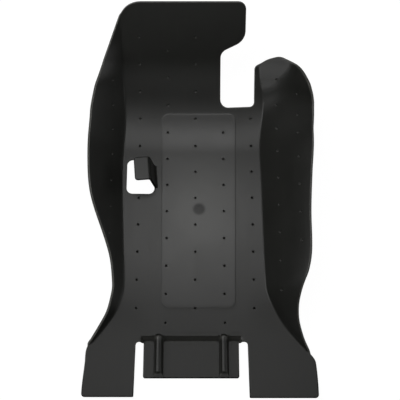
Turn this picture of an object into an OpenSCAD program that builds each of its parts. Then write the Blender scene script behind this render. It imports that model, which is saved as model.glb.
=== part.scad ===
// Motorcycle skid plate, moulded in one piece.
// Seen as it lies on its flat underside: +Y is the front, +X the right side, +Z up.
// The origin is on the flat underside, half way along the flat floor, on the pits' centre line.
// Side lines are given as distances from the centre line, and heights are above the floor.

/* [Sheet] */
// Thickness of the moulded wall
wall = 3.5; // [2.5:0.1:4.5]
// Length of the flat floor, from the rear step to the front bend
floor_len = 241; // [215:1:265]
// Inner radius of the front bend
bend_r = 144; // [120:1:170]
// Angle that the front turns up through
bend_angle = 50; // [42:1:56]
// Straight run of the front past the bend
front_len = 74; // [60:1:90]

/* [Left side line] */
// Crease by the front bend
crease_mid_l = 94; // [88:0.5:100]
// Crease at the narrow waist ahead of the foot
waist_l = 87.5; // [80:0.5:93]
// Outer corner of the left foot at its root
foot_root_l = 130; // [122:0.5:138]
// Outer edge of the left foot at the rear
foot_out_l = 134.5; // [126:0.5:142]

/* [Right side line] */
// Crease by the front bend
crease_mid_r = 84; // [80:0.5:90]
// Crease beside the front notch
crease_front_r = 81.3; // [79:0.5:84]
// Crease at the narrow waist ahead of the foot
waist_r = 86.5; // [80:0.5:92]
// Outer corner of the right foot at its root
foot_root_r = 141; // [134:0.5:148]
// Outer edge of the right foot at the rear
foot_out_r = 146; // [140:0.5:154]

/* [Wings] */
// Reach of the left wing beyond its crease at its widest, with the sheet's edge
wing_l = 42; // [30:0.5:50]
// Slope of the left wing
slope_l = 50; // [40:1:58]
// Reach of the right wing beyond its crease at its widest, with the sheet's edge
wing_r = 63.7; // [50:0.5:70]
// Slope of the right wing
slope_r = 45; // [36:1:52]
// Outward belly of the right wing along the floor
belly = 0.2; // [0:0.05:0.4]
// Inward hollow of the ear at the right wing's front end
ear_hollow = 1; // [0.4:0.05:1]
// Fillet between floor and wing
crease_r = 3; // [1.5:0.5:5]
// Rise of the floor from the raised panel out to the creases
dish = 1.5; // [0:0.1:3]

/* [Front outline] */
// Right edge of the upturned front
front_half_r = 63.7; // [58:0.5:70]
// Left corner of the upturned front, before rounding
front_half_l = 88.7; // [82:0.5:94]
// Height of the lobe beside the notch, measured down from the front edge
lobe_len = 47; // [38:1:56]
// Fall of the lobe's lower edge, from the front's right edge in to the notch
lobe_slant = 21; // [14:1:28]
// Corner radius of the lobe and of the notch's left side
lobe_round = 10; // [6:0.5:12]
// Left side of the front notch
notch_l = 32.3; // [26:0.5:40]
// Right side of the front notch
notch_r = 76.2; // [73:0.5:78]
// Depth of the notch below the front edge
notch_depth = 138; // [126:1:142]
// Distance from the front edge down to the top of the ear
ear_drop = 68; // [60:1:76]
// Corner radius at the notch's right side
notch_round = 6; // [3:0.5:9]
// Width of the ear, from the notch to its outer edge
ear_w = 76; // [70:0.5:82]
// Rise of the ear's top from the notch's side
ear_rise = 18.7; // [12:0.1:24]
// Corner radius of the ear
ear_round = 20; // [14:0.5:24]
// Radius of the large front corner
front_corner_r = 30; // [15:1:34]

/* [Feet and tab] */
// Rear reach of the feet behind the step
foot_reach = 73.5; // [62:0.5:82]
// Inner edge of the left foot
foot_in_l = 72.5; // [66:0.5:80]
// Inner edge of the right foot
foot_in_r = 64; // [57:0.5:72]
// Left edge of the middle tab
tab_l = 62.4; // [56:0.5:64]
// Right edge of the middle tab
tab_r = 52.8; // [47:0.5:55]
// Rear reach of the middle tab behind the step
tab_reach = 48.5; // [40:0.5:56]
// Drop of the middle tab below the floor
step_drop = 7; // [4:0.5:10]
// Slope of the step down to the tab
step_slope = 62; // [45:1:75]
// Distance from the step back to the front ends of the two slots
slot_lead = 6.5; // [5.5:0.5:12]
// Thickness of the cheeks that close the step's ends
cheek = 2; // [1.4:0.1:3]
// How much shorter the left foot is than the right one
foot_short = 1.2; // [0.2:0.1:4]
// How far each foot's inner edge closes in on the tab at the slot's front end
foot_close = 1; // [0:0.1:3]
// Corner radius of the feet
foot_round = 4; // [2:0.5:6]
// Corner radius of the tab
tab_round = 2.5; // [1:0.5:4]
// Width of each stiffening rib on the tab
rib_w = 11.5; // [8:0.5:14]
// Height of each rib above the tab
rib_h = 11; // [8:0.5:14]
// Left rib's distance from the centre line
rib_l = 44; // [38:0.5:48]
// Right rib's distance from the centre line
rib_r = 34.5; // [28:0.5:40]

/* [Window and hook] */
// Left side of the window
window_l = 87.8; // [84:0.2:89]
// Right side of the window
window_r = 52.4; // [50:0.2:56]
// Distance of the window's front edge behind the bend
window_front = 10; // [6:0.5:15]
// Length of the window
window_len = 47; // [41:0.5:54]
// Corner radius of the window
window_round = 7.5; // [4:0.5:9]
// Corner radius of the window under the hook's front end
window_hook_round = 14; // [9:0.5:17]
// Height of the hook above the floor's top face
hook_h = 32; // [25:0.5:36]
// Reach of the hook's flat tab from its web
hook_reach = 20.5; // [15:0.5:24]
// Length of the hook along the plate
hook_len = 31; // [24:0.5:35]
// Thickness of the hook
hook_t = 3; // [2.4:0.1:3.6]
// Lean of the hook's web over the window
hook_lean = 10; // [5:1:15]
// Turn of the hook away from straight ahead
hook_turn = 4.6; // [0:0.2:7]
// Distance of the hook's front end behind the window's front edge
hook_back = 8.2; // [6:0.2:10]
// Length of the curve between the hook's web and its tab
hook_bend = 3; // [2.5:0.5:5]
// Corner radius of the hook's tab
hook_round = 4; // [2:0.5:6]

/* [Surface] */
// Spacing of the moulded pits
pit_pitch = 36; // [30:0.5:42]
// Distance from the bend's start forward to the pits' datum row
pit_lead = 45.4; // [40:0.2:50]
// Radius of each pit
pit_r = 1.4; // [1:0.1:1.8]
// Depth of each pit
pit_deep = 1.2; // [0.8:0.1:1.6]
// Height of the raised panel on the floor
panel_rise = 0.8; // [0.5:0.1:1.5]
// Length of the raised panel
panel_len = 258; // [230:1:270]
// Half width of the raised panel at its rear end
panel_half = 45; // [38:0.5:50]
// Extra half width of the raised panel at its front end
panel_spread = 3; // [0:0.5:5]
// Reach of the raised panel past the bend's start
panel_front = 52; // [42:1:60]
// Shift of the raised panel to the right
panel_shift = 4; // [0:0.5:6]
// Corner radius of the raised panel
panel_round = 9; // [5:0.5:14]
// Radius of the gate mark
gate_r = 8; // [5:0.5:10]
// Height of the gate mark
gate_rise = 1.6; // [1:0.1:2.5]
// Distance of the gate mark to the right of the centre line
gate_x = 4.5; // [0:0.5:9]
// Distance of the gate mark behind the bend's start
gate_back = 78; // [66:1:90]

/* [Hidden] */

bend_y = floor_len / 2;
step_y = -floor_len / 2;
bend_len = bend_r * bend_angle * PI / 180;
front_arc = bend_len + front_len;
rear_y = step_y - foot_reach;
cut_margin = 5;

// The front is trimmed by a cutter tilted to lie near square to the plate there.
trim_tilt = bend_angle - 5;
trim_edge = (bend_r * sin(bend_angle) + front_len * cos(bend_angle)) * cos(trim_tilt)
          + (bend_r * (1 - cos(bend_angle)) + front_len * sin(bend_angle)) * sin(trim_tilt);

// Segments across a section's wings and crease fillets, and the least width given to a wing
wing_cuts_l = 5;
wing_cuts_r = 8;
fillet_cuts = 3;
wing_min = 1;

// Lines that run the length of the plate are pairs of station and value. A station is a share of
// the floor's length behind the bend (below 0), or of the front's length ahead of it (above 0).
flare_l = foot_root_l - waist_l;
crease_line_l = [
    [-1.3, foot_out_l - wing_min],
    [-1.13, foot_root_l - wing_min + 0.4 * (foot_out_l - foot_root_l)],
    [-1.055, foot_root_l - wing_min], [-1.019, waist_l + 0.79 * flare_l],
    [-0.948, waist_l + 0.48 * flare_l], [-0.884, waist_l + 0.23 * flare_l],
    [-0.815, waist_l + 0.08 * flare_l], [-0.74, waist_l],
    [-0.5, waist_l + 0.4 * (crease_mid_l - waist_l)], [-0.1, crease_mid_l],
    [0.23, crease_mid_l - 3], [0.6, crease_mid_l], [1, crease_mid_l]];
flare_r = foot_root_r - waist_r;
crease_line_r = [
    [-1.3, foot_out_r - wing_min],
    [-1.135, foot_root_r - wing_min + 0.65 * (foot_out_r - foot_root_r)],
    [-1.104, foot_root_r - wing_min], [-1.019, waist_r + 0.65 * flare_r],
    [-0.926, waist_r + 0.33 * flare_r], [-0.82, waist_r + 0.09 * flare_r],
    [-0.74, waist_r], [-0.16, crease_mid_r],
    [0.05, crease_mid_r - 0.8], [0.31, crease_mid_r + 3.9], [0.385, crease_mid_r + 3.2],
    [0.48, crease_front_r + 1.7], [0.575, crease_front_r], [1, crease_front_r - 1.3]];

// Wing reach along the plate, as a share of its widest reach.
reach_line_l = [
    [-1.08, 0], [-1.03, 0.11], [-0.93, 0.21], [-0.85, 0.28], [-0.75, 0.33], [-0.58, 0.43],
    [-0.31, 0.86], [-0.1, 0.955], [0.25, 1], [0.45, 0.85], [0.6, 0.65], [0.75, 0.38],
    [0.9, 0.12], [1, 0]];
reach_line_r = [
    [-1.12, 0], [-1.07, 0.07], [-1, 0.185], [-0.87, 0.44], [-0.75, 0.72], [-0.685, 0.81],
    [-0.6, 0.86], [-0.4, 0.885], [-0.2, 0.94], [-0.04, 1], [0.1, 0.995], [0.28, 0.94],
    [0.45, 0.96], [0.6, 0.96]];
dish_line = [[-1, 0], [-0.8, 1], [0, 1], [0.4, 0]];
hollow_line = [[0.12, 0], [0.5, 1]];

// Where the floor starts to rise towards the creases
level_l = panel_half + 2.5;
level_r = panel_half + 11;

function slope_at(c, i) = i == 0 || i == len(c) - 1 ? 0
    : (c[i + 1][1] - c[i - 1][1]) / (c[i + 1][0] - c[i - 1][0]);

// Smooth curve through the pairs of c, flat past both ends
function along(c, q) =
    q <= c[0][0] ? c[0][1] : q >= c[len(c) - 1][0] ? c[len(c) - 1][1]
    : let (i = max([for (k = [0:len(c) - 2]) if (c[k][0] <= q) k]),
           w = c[i + 1][0] - c[i][0], t = (q - c[i][0]) / w)
      c[i][1] * (2 * t^3 - 3 * t^2 + 1) + slope_at(c, i) * w * (t^3 - 2 * t^2 + t)
      + c[i + 1][1] * (3 * t^2 - 2 * t^3) + slope_at(c, i + 1) * w * (t^3 - t^2);

function station(s) = s < 0 ? s / floor_len : s / front_arc;

// Heading of the plate's centre line, and its height and length, at distance s from the bend
function heading(s) = s <= 0 ? 0 : min(bend_angle, s / bend_r * 180 / PI);
function centre_y(s) = bend_y + (s <= 0 ? s
    : bend_r * sin(heading(s)) + max(0, s - bend_len) * cos(bend_angle));
function centre_z(s) = wall + (s <= 0 ? 0
    : bend_r * (1 - cos(heading(s))) + max(0, s - bend_len) * sin(bend_angle));

// A point of a section, u across and v above the floor's top face
function place(s, p) =
    [p[0], centre_y(s) - p[1] * sin(heading(s)), centre_z(s) + p[1] * cos(heading(s))];

function wing_curve(t, b) = t + b * t * (1 - t);

// A wing's section from crease to rim, on the side given by 1 or -1
function wing_point(crease, base, reach, rise, b, side, t) =
    [side * (crease + reach * t), base + rise * wing_curve(t, b)];

// A rounded corner between two directions, by a quadratic curve
function bend_through(a, b, c, n) = [for (i = [0:n]) let (t = i / n)
    a * (1 - t)^2 + b * 2 * t * (1 - t) + c * t^2];

function half_section(s, side) = let (
    q = station(s),
    left = side < 0,
    crease = along(left ? crease_line_l : crease_line_r, q),
    share = along(left ? reach_line_l : reach_line_r, q),
    slope = left ? slope_l : slope_r,
    reach = max(0, share * (left ? wing_l : wing_r) - wall * sin(slope)),
    width = max(reach, wing_min),
    rise = reach * tan(slope),
    b = left ? 0 : belly - (belly + ear_hollow) * along(hollow_line, q),
    base = dish * along(dish_line, q),
    level = left ? level_l : level_r,
    r = min(crease_r, width * 0.6),
    cuts = left ? wing_cuts_l : wing_cuts_r,
    from_t = r / width,
    foot = wing_point(crease, base, width, rise, b, side, from_t),
    flat = [side * (crease - r), base * (1 - r / (crease - level))])
    concat([[side * level, 0]],
        bend_through(flat, [side * crease, base], foot, fillet_cuts),
        [for (i = [1:cuts]) wing_point(crease, base, width, rise, b, side,
            from_t + (1 - from_t) * i / cuts)]);

function reversed(c) = [for (i = [len(c) - 1:-1:0]) c[i]];
function section(s) = concat(reversed(half_section(s, -1)), half_section(s, 1));

function unit(v) = v / norm(v);
// The section's underside: each point moved square to the section by the wall
function under(c) = [for (i = [0:len(c) - 1]) let (
    d = unit(c[min(i + 1, len(c) - 1)] - c[max(i - 1, 0)]))
    c[i] + wall * [d[1], -d[0]]];

stations = concat(
    [for (f = [1, 0.75, 0.55]) -floor_len - foot_reach * f - cut_margin],
    [for (q = [-1.14:0.025:-0.7]) q * floor_len],
    [for (q = [-0.67:0.035:-0.01]) q * floor_len],
    [for (q = [0:0.035:1.01]) q * front_arc],
    [front_arc + cut_margin]);

// Closed skin over two grids of points, upper and lower
module skin(upper, lower) {
    n = len(upper);
    m = len(upper[0]);
    function at(i, j, low) = (low ? n * m : 0) + i * m + j;
    points = concat([for (row = upper) each row], [for (row = lower) each row]);
    faces = concat(
        [for (i = [0:n - 2], j = [0:m - 2]) each [
            [at(i, j), at(i + 1, j), at(i + 1, j + 1)], [at(i, j), at(i + 1, j + 1), at(i, j + 1)],
            [at(i, j, true), at(i + 1, j + 1, true), at(i + 1, j, true)],
            [at(i, j, true), at(i, j + 1, true), at(i + 1, j + 1, true)]]],
        [for (i = [0:n - 2]) each [
            [at(i, 0), at(i, 0, true), at(i + 1, 0, true)], [at(i, 0), at(i + 1, 0, true), at(i + 1, 0)],
            [at(i, m - 1), at(i + 1, m - 1, true), at(i, m - 1, true)],
            [at(i, m - 1), at(i + 1, m - 1), at(i + 1, m - 1, true)]]],
        [for (j = [0:m - 2]) each [
            [at(0, j), at(0, j + 1, true), at(0, j, true)], [at(0, j), at(0, j + 1), at(0, j + 1, true)],
            [at(n - 1, j), at(n - 1, j, true), at(n - 1, j + 1, true)],
            [at(n - 1, j), at(n - 1, j + 1, true), at(n - 1, j + 1)]]]);
    polyhedron(points = points, faces = faces, convexity = 10);
}

// Floor, upturned front and both wings, as one lofted shell
module shell() {
    skin([for (s = stations) [for (p = section(s)) place(s, p)]],
         [for (s = stations) [for (p = under(section(s))) place(s, p)]]);
}

// Arc that rounds the corner b between a and c, where b's third value is the radius
function corner_arc(a, b, c, n) = let (
    p = [b[0], b[1]], u = unit([a[0], a[1]] - p), w = unit([c[0], c[1]] - p),
    half = acos(u * w) / 2, r = b[2], mid = p + unit(u + w) * r / sin(half),
    start = p + u * r / tan(half) - mid,
    turn = (180 - 2 * half) * (cross([u[0], u[1], 0], [w[0], w[1], 0])[2] > 0 ? -1 : 1))
    [for (i = [0:n]) let (g = turn * i / n)
        mid + [start[0] * cos(g) - start[1] * sin(g), start[0] * sin(g) + start[1] * cos(g)]];
module rounded(corners, n = 6) {
    m = len(corners);
    polygon([for (i = [0:m - 1])
        each corner_arc(corners[(i + m - 1) % m], corners[i], corners[(i + 1) % m], n)]);
}

// Outline of the front, in the tilted plane of its cutter: what is kept
module front_outline() {
    notch_low = trim_edge - notch_depth;
    ear_top = trim_edge - ear_drop;
    left_run = notch_depth + 2 * cut_margin;
    left_slant = 0.414;
    notch_slant = 1.5;
    rounded([
        [-front_half_l - left_slant * left_run, trim_edge - left_run, 2],
        [-front_half_l, trim_edge, front_corner_r],
        [front_half_r, trim_edge, lobe_round], [front_half_r, trim_edge - lobe_len, lobe_round],
        [notch_l, trim_edge - lobe_len - lobe_slant, lobe_round], [notch_l, notch_low, lobe_round],
        [notch_r, notch_low + notch_slant, notch_round], [notch_r, ear_top - ear_rise, notch_round],
        [notch_r + 0.395 * ear_w, ear_top, 0.7 * ear_round],
        [notch_r + 0.8 * ear_w, ear_top - 0.147 * ear_w, ear_round],
        [notch_r + ear_w, ear_top - 0.556 * ear_w, ear_round],
        [notch_r + 1.45 * ear_w, ear_top - 1.19 * ear_w, 2]], 7);
}
module front_cutter() {
    low = trim_edge - notch_depth - cut_margin;
    translate([0, bend_y, wall]) rotate([trim_tilt, 0, 0]) translate([0, 0, -200])
        linear_extrude(400) difference() {
            translate([-250, low]) square([500, 300]);
            front_outline();
        }
}

// Side profile of the step: a line at the step's slope, moved down and forward by depth
step_run = step_drop / tan(step_slope);
function step_line(z, depth) = [step_y - (wall - z) / tan(step_slope) + depth / sin(step_slope), z];

// What is cut away behind the floor: around the feet, the bay between them and the tab's recess
module rear_cutter() {
    slot_y = step_y - slot_lead;
    back = rear_y - 20;
    out = 0.3;
    lean = 0.7;
    deep = 30;
    translate([0, 0, -deep]) linear_extrude(2 * deep) {
        difference() {
            translate([-250, back]) square([500, 20 + cut_margin]);
            rounded([[-foot_out_l - out, rear_y + foot_short, foot_round],
                     [-foot_in_l, rear_y + foot_short, 1], [foot_in_r, rear_y, 1],
                     [foot_out_r + out, rear_y, foot_round],
                     [foot_out_r + out, rear_y + 30, 1], [-foot_out_l - out, rear_y + 30, 1]]);
        }
        rounded([[-foot_in_l + foot_close, slot_y, foot_round],
                 [foot_in_r - foot_close, slot_y, foot_round],
                 [foot_in_r + lean, back, 1], [-foot_in_l - lean, back, 1]]);
    }
    skim = 0.05;
    translate([-tab_l + skim, 0, 0]) rotate([90, 0, 90]) linear_extrude(tab_l + tab_r - 2 * skim)
        polygon([step_line(deep, 0), step_line(-deep, 0), [back, -deep], [back, deep]]);
}

// Lower tab between the feet, with the sloped step that carries it up into the floor
module rear_tab() {
    lap = 8;
    rear = step_y - tab_reach;
    skim = 0.05;
    low = wall / 5;
    high = wall * 4 / 5;
    intersection() {
        translate([-tab_l, 0, 0]) rotate([90, 0, 90]) linear_extrude(tab_l + tab_r) polygon([
            [step_y + lap, high], step_line(high, skim), step_line(wall - step_drop, skim),
            [rear - 5, wall - step_drop], [rear - 5, -step_drop],
            step_line(-step_drop, wall), step_line(low, wall), [step_y + lap, low]]);
        translate([0, 0, -30]) linear_extrude(60) rounded([
            [-tab_l, rear, tab_round], [tab_r, rear, tab_round],
            [tab_r, step_y + 20, 1], [-tab_l, step_y + 20, 1]]);
    }
}

// Wall that closes one end of the step, from the slot forward. It starts at the tab's edge.
module step_cheek(edge, side) {
    skim = 0.12;
    rear = step_y - slot_lead + skim;
    high = wall * 3 / 4;
    low = skim - step_drop;
    depth = wall / 2;
    translate([side > 0 ? edge - skim : edge - cheek, 0, 0]) rotate([90, 0, 90])
        linear_extrude(cheek + skim)
            polygon([step_line(high, depth), [rear, high], [rear, low], step_line(low, depth)]);
}

// Stiffening rib that runs over the step, with a rounded front end and a slanted rear end
module rib(x) {
    top = wall - step_drop;
    nose = 5;
    lead = 4;
    rear_gap = 0.6;
    nose_y = step_y + lead - nose;
    rear = step_y - tab_reach + rear_gap;
    slant = 3.4;
    cuts = 12;
    lap = wall * 0.3;
    skirt = 0.3;
    // Each row: distance forward, share of full size and height of its foot inside the sheet
    rows = concat([[rear, 1, top - lap], [step_y - step_run, 1, top - lap], [nose_y, 1, lap]],
        [for (a = [25, 45, 65, 84]) [nose_y + nose * sin(a), cos(a), lap]]);
    across = [for (i = [0:cuts]) 180 - 180 * i / cuts];
    skin([for (r = rows) [for (a = across)
            [x + rib_w / 2 * r[1] * cos(a),
             r[0] + (r[0] == rear ? slant * sin(a) : 0),
             max(top + rib_h * r[1] * sin(a), r[2] + skirt)]]],
         [for (r = rows) [for (a = across) [x + rib_w / 2 * r[1] * cos(a), r[0], r[2]]]]);
}

// Opening beside the left crease
module window_cutter() {
    front = bend_y - window_front;
    translate([0, 0, -20]) linear_extrude(60) rounded([
        [-window_l, front, window_round], [-window_r, front, window_hook_round],
        [-window_r, front - window_len, window_round],
        [-window_l, front - window_len, window_round]]);
}

// Strip of even thickness through a row of points, with round joints
module strip(c, t) {
    for (i = [0:len(c) - 2]) hull() {
        translate(c[i]) circle(t / 2, $fn = 16);
        translate(c[i + 1]) circle(t / 2, $fn = 16);
    }
}

// Hook whose web stands on the window's right edge and leans over it, with a tab that reaches left
module hook() {
    top = hook_h - hook_t / 2;
    root = 0.8 * wall;
    lean_x = -top * tan(hook_lean);
    end_x = lean_x - hook_reach + hook_t;
    skim = 0.05;
    path = concat([[root * tan(hook_lean), -root]],
        bend_through([lean_x + hook_bend * tan(hook_lean), top - hook_bend], [lean_x, top],
            [lean_x - hook_bend, top], 4),
        [[end_x, top]]);
    translate([-window_r - hook_t / 3, bend_y - window_front - hook_back, wall]) rotate([0, 0, hook_turn])
        intersection() {
            rotate([90, 0, 0]) linear_extrude(hook_len) strip(path, hook_t);
            translate([0, 0, -2 * wall]) linear_extrude(2 * hook_h) rounded([
                [end_x - 0.4 * hook_t, skim, hook_round], [2 * hook_t, skim, 1],
                [2 * hook_t, -hook_len - skim, 1], [end_x - 0.4 * hook_t, -hook_len - skim, hook_round]]);
        }
}

// Raised panel that follows the floor and the start of the bend
module panel() {
    front = bend_y + panel_front;
    rear = front - panel_len;
    rows = concat([-floor_len, -1], [for (i = [0:10]) i * bend_r / 20]);
    edge = panel_half + 20;
    intersection() {
        skin([for (s = rows) [for (u = [-edge, edge]) place(s, [u, panel_rise])]],
             [for (s = rows) [for (u = [-edge, edge]) place(s, [u, -1])]]);
        translate([panel_shift, 0, 0]) linear_extrude(60) rounded([
            [-panel_half, rear, panel_round], [panel_half, rear, panel_round],
            [panel_half + panel_spread, front, panel_round],
            [-panel_half - panel_spread, front, panel_round]]);
    }
}

// Low dome where the plastic entered the mould
module gate_mark() {
    translate([gate_x, bend_y - gate_back, wall])
        scale([gate_r, gate_r, panel_rise + gate_rise]) sphere(1, $fn = 32);
}

// One pit, square to the surface at a section point, turned so that no corner meets a facet's edge
pit_turn = 35;
module pit(s, p, lean = 0) {
    translate(place(s, p)) rotate([heading(s), 0, 0]) rotate([0, lean, pit_turn]) hull() {
        translate([0, 0, -pit_deep]) cylinder(r = pit_r * 0.6, h = pit_deep, $fn = 8);
        cylinder(r = pit_r, h = 2, $fn = 8);
    }
}

// Staggered rows of pits. Odd columns sit half a pitch behind the even ones.
function pit_s(row) = pit_lead - row * pit_pitch / 2;
module floor_pits() {
    clear = 3;
    for (col = [-2:2], row = [-6:15]) if ((col + row) % 2 == 0) {
        s = pit_s(row);
        u = col * pit_pitch;
        in_window = col == -2 && s < clear - window_front && s > -window_front - window_len - clear;
        in_notch = col > 0 && row < 0;
        on_panel = abs(col) < 2 && row > -1 && row < 14;
        if (!in_window && !in_notch && s > 2 * clear - floor_len) pit(s, [u, on_panel ? panel_rise : 0]);
    }
}

// Pits up a wing, in every second row from first to last, at one distance from the centre line
module wing_pits(side, reach, first, last) {
    for (row = [first:2:last]) {
        s = pit_s(row);
        half = half_section(s, side);
        rim = half[len(half) - 1];
        foot = half[1 + fillet_cuts];
        t = (reach - abs(foot[0])) / (abs(rim[0]) - abs(foot[0]));
        cuts = len(half) - 2 - fillet_cuts;
        i = 1 + fillet_cuts + floor(t * cuts);
        f = t * cuts - floor(t * cuts);
        if (t > 0 && t < 0.95) {
            p = half[i] * (1 - f) + half[i + 1] * f;
            d = half[i + 1] - half[i];
            pit(s, p, -atan(d[1] / d[0]));
        }
    }
}

module skid_plate() {
    color([0.13, 0.13, 0.125]) difference() {
        union() {
            difference() {
                union() {
                    shell();
                    panel();
                }
                front_cutter();
                rear_cutter();
                window_cutter();
            }
            rear_tab();
            step_cheek(-tab_l, -1);
            step_cheek(tab_r, 1);
            rib(-rib_l);
            rib(rib_r);
            gate_mark();
            hook();
        }
        floor_pits();
        wing_pits(1, crease_mid_r + 0.314 * wing_r, -3, 13);
        wing_pits(1, crease_mid_r + 0.691 * wing_r, -2, 10);
        wing_pits(-1, crease_mid_l + 0.286 * wing_l, -3, 9);
    }
}

skid_plate();
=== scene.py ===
import math

import bpy
import numpy as np
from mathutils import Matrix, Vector, geometry, kdtree


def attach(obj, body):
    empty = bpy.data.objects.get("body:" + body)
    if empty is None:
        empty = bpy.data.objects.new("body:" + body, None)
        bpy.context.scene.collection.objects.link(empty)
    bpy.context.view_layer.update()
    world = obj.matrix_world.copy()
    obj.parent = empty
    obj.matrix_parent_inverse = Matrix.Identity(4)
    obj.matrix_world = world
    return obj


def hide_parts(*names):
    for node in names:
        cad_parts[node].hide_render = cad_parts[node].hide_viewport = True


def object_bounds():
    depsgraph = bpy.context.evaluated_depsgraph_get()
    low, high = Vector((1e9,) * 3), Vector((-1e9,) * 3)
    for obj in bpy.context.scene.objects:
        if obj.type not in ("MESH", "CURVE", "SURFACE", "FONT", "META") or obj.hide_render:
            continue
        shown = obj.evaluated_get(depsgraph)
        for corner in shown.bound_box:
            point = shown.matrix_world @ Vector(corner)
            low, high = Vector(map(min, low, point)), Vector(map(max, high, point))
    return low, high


# Looks of a moulded skid plate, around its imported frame. The plate is drawn as a fine mesh of the
# same form as its solid. Lengths are in millimetres until vertices are made, which are in metres.

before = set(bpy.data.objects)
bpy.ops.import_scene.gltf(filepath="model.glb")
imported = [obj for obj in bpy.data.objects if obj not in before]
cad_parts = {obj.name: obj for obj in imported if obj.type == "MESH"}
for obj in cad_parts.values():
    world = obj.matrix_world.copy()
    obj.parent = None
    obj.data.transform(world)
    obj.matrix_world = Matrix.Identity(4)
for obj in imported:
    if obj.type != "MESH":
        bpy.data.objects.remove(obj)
cad_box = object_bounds()
MM = 0.001

# Sheet and profile
WALL = 3.5
FLOOR_LEN = 241
BEND_R = 144
BEND_ANGLE = math.radians(50)
FRONT_LEN = 74
EDGE_R = 1.1

# Side lines: the crease on each side, and the feet's outer edges
CREASE_MID_L, WAIST_L, FOOT_ROOT_L, FOOT_OUT_L = 94, 87.5, 130, 134.5
CREASE_MID_R, CREASE_FRONT_R, WAIST_R, FOOT_ROOT_R, FOOT_OUT_R = 84, 81.3, 86.5, 141, 146

# Wings. Right of the notch, the right wing is an ear: less steep up to a fold, steeper past it.
# The crease's fillet is at most CREASE_R, and CREASE_SHARE of the wing's width.
WING_L, SLOPE_L = 42, math.radians(50)
WING_R, SLOPE_R = 63.7, math.radians(45)
BELLY = 0.2
EAR_LEVEL, FOLD_SOFT = 0.55, 0.42
CREASE_R, CREASE_SHARE, CREASE_LEAST = 1.4, 0.6, 1e-4
DISH = 1.5
WING_MIN = 1

# Front outline. The lobe is its part left of the notch, and LOBE_BULGE rounds its outer corner.
FRONT_HALF_R, FRONT_HALF_L, FRONT_CORNER_R, LEFT_SLANT = 63.7, 88.7, 30, 0.414
LOBE_LEN, LOBE_SLANT, LOBE_ROUND, LOBE_BULGE, NECK_ROUND = 50.7, 15.8, 10, 20.5, 12.5
NOTCH_L, NOTCH_R, NOTCH_DEPTH, NOTCH_ROUND, NOTCH_SLANT = 32.3, 76.2, 138, 6, 1.5
EAR_DROP, EAR_W, EAR_RISE, EAR_ROUND = 68, 76, 18.7, 20
EAR_BROW, EAR_CROWN, BROW_ROUND = 0.2, 2.8, 40
LEFT_EASE, RIGHT_EASE, TRIM_SPARE = 14, 19, 10

# The ear's outer corners, as shares of EAR_W across and back, and of EAR_ROUND
EAR_SHAPE = [(0.395, 0, 0.7), (0.8, 0.147, 1), (1, 0.556, 1), (1.45, 1.19, 0)]

# Feet, tab and ribs
FOOT_REACH, FOOT_SHORT, FOOT_ROUND, FOOT_TIP_ROUND, FOOT_END = 73.5, 1.2, 4, 1.5, 10
FOOT_IN_L, FOOT_IN_R, FOOT_CLOSE, FOOT_LEAN, FOOT_SPARE = 72.5, 64, 1, 0.7, 20
TAB_L, TAB_R, TAB_REACH, TAB_ROUND, TAB_ROOT_ROUND = 62.4, 52.8, 49.1, 2.5, 0.6
STEP_DROP, STEP_SLOPE, STEP_SOFT, SLOT_LEAD = 7, math.radians(66), 0.8, 6.5
STEP_BACK, STEP_CHEEK, STEP_UNDER = 0.6, 3, 1.5
RIB_W, RIB_H, RIB_L, RIB_R = 11.5, 11, 44, 34.5
RIB_NOSE, RIB_LEAD, RIB_GAP, RIB_SLANT = 5, 4, 0.6, 3.4
RIB_OVAL, RIB_FULL, RIB_SOFT, RIB_LEAST = 2.2, 1.02, 0.9, 1e-3

# Window and hook
WINDOW_L, WINDOW_R, WINDOW_FRONT, WINDOW_LEN = 87.8, 52.4, 10, 47
WINDOW_ROUND, WINDOW_HOOK_ROUND = 7.5, 14
HOOK_H, HOOK_REACH, HOOK_LEN, HOOK_T, HOOK_BACK, HOOK_ROUND = 32, 20.5, 31, 3, 8.2, 4
HOOK_LEAN, HOOK_TURN = math.radians(10), math.radians(4.6)
HOOK_BEND_R, HOOK_FILLET, HOOK_ROOT_ROUND = 3.6, 1.6, 0.5

# Pits: a grid over the floor and front, and columns up the wings with their first and last row
PIT_PITCH, PIT_LEAD, PIT_R, PIT_DEEP, PIT_BASE_R, PIT_SPREAD = 36, 45.4, 1.5, 1.5, 0.55, 0.1
PIT_COLUMNS, PIT_ROWS, WINDOW_COLUMN, WINDOW_MARGIN = range(-2, 3), range(-6, 16), -2, 3
WING_COLUMNS = [(CREASE_MID_R + 0.314 * WING_R, -3, 13), (CREASE_MID_R + 0.691 * WING_R, -2, 10),
                (-CREASE_MID_L - 0.286 * WING_L, -3, 9)]

# Raised panel and gate mark
PANEL_RISE, PANEL_REAR, PANEL_FRONT = 0.4, -206, 52
PANEL_HALF, PANEL_SPREAD, PANEL_SHIFT, PANEL_CORNER, PANEL_EDGE = 45, 3, 4, 9, 2.4
GATE_U, GATE_S, GATE_R, GATE_RISE = 4.5, -78, 10, 0.25

# Derived places along the plate and in the plane that trims the front
BEND_LEN = BEND_R * BEND_ANGLE
FRONT_ARC = BEND_LEN + FRONT_LEN
BEND_Y = FLOOR_LEN / 2
STEP_S = -FLOOR_LEN
REAR_S = -FLOOR_LEN - FOOT_REACH
TRIM_TILT = BEND_ANGLE - math.radians(5)
FRONT_Y = BEND_R * math.sin(BEND_ANGLE) + FRONT_LEN * math.cos(BEND_ANGLE)
FRONT_Z = BEND_R * (1 - math.cos(BEND_ANGLE)) + FRONT_LEN * math.sin(BEND_ANGLE)
TRIM_EDGE = FRONT_Y * math.cos(TRIM_TILT) + FRONT_Z * math.sin(TRIM_TILT)

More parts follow.
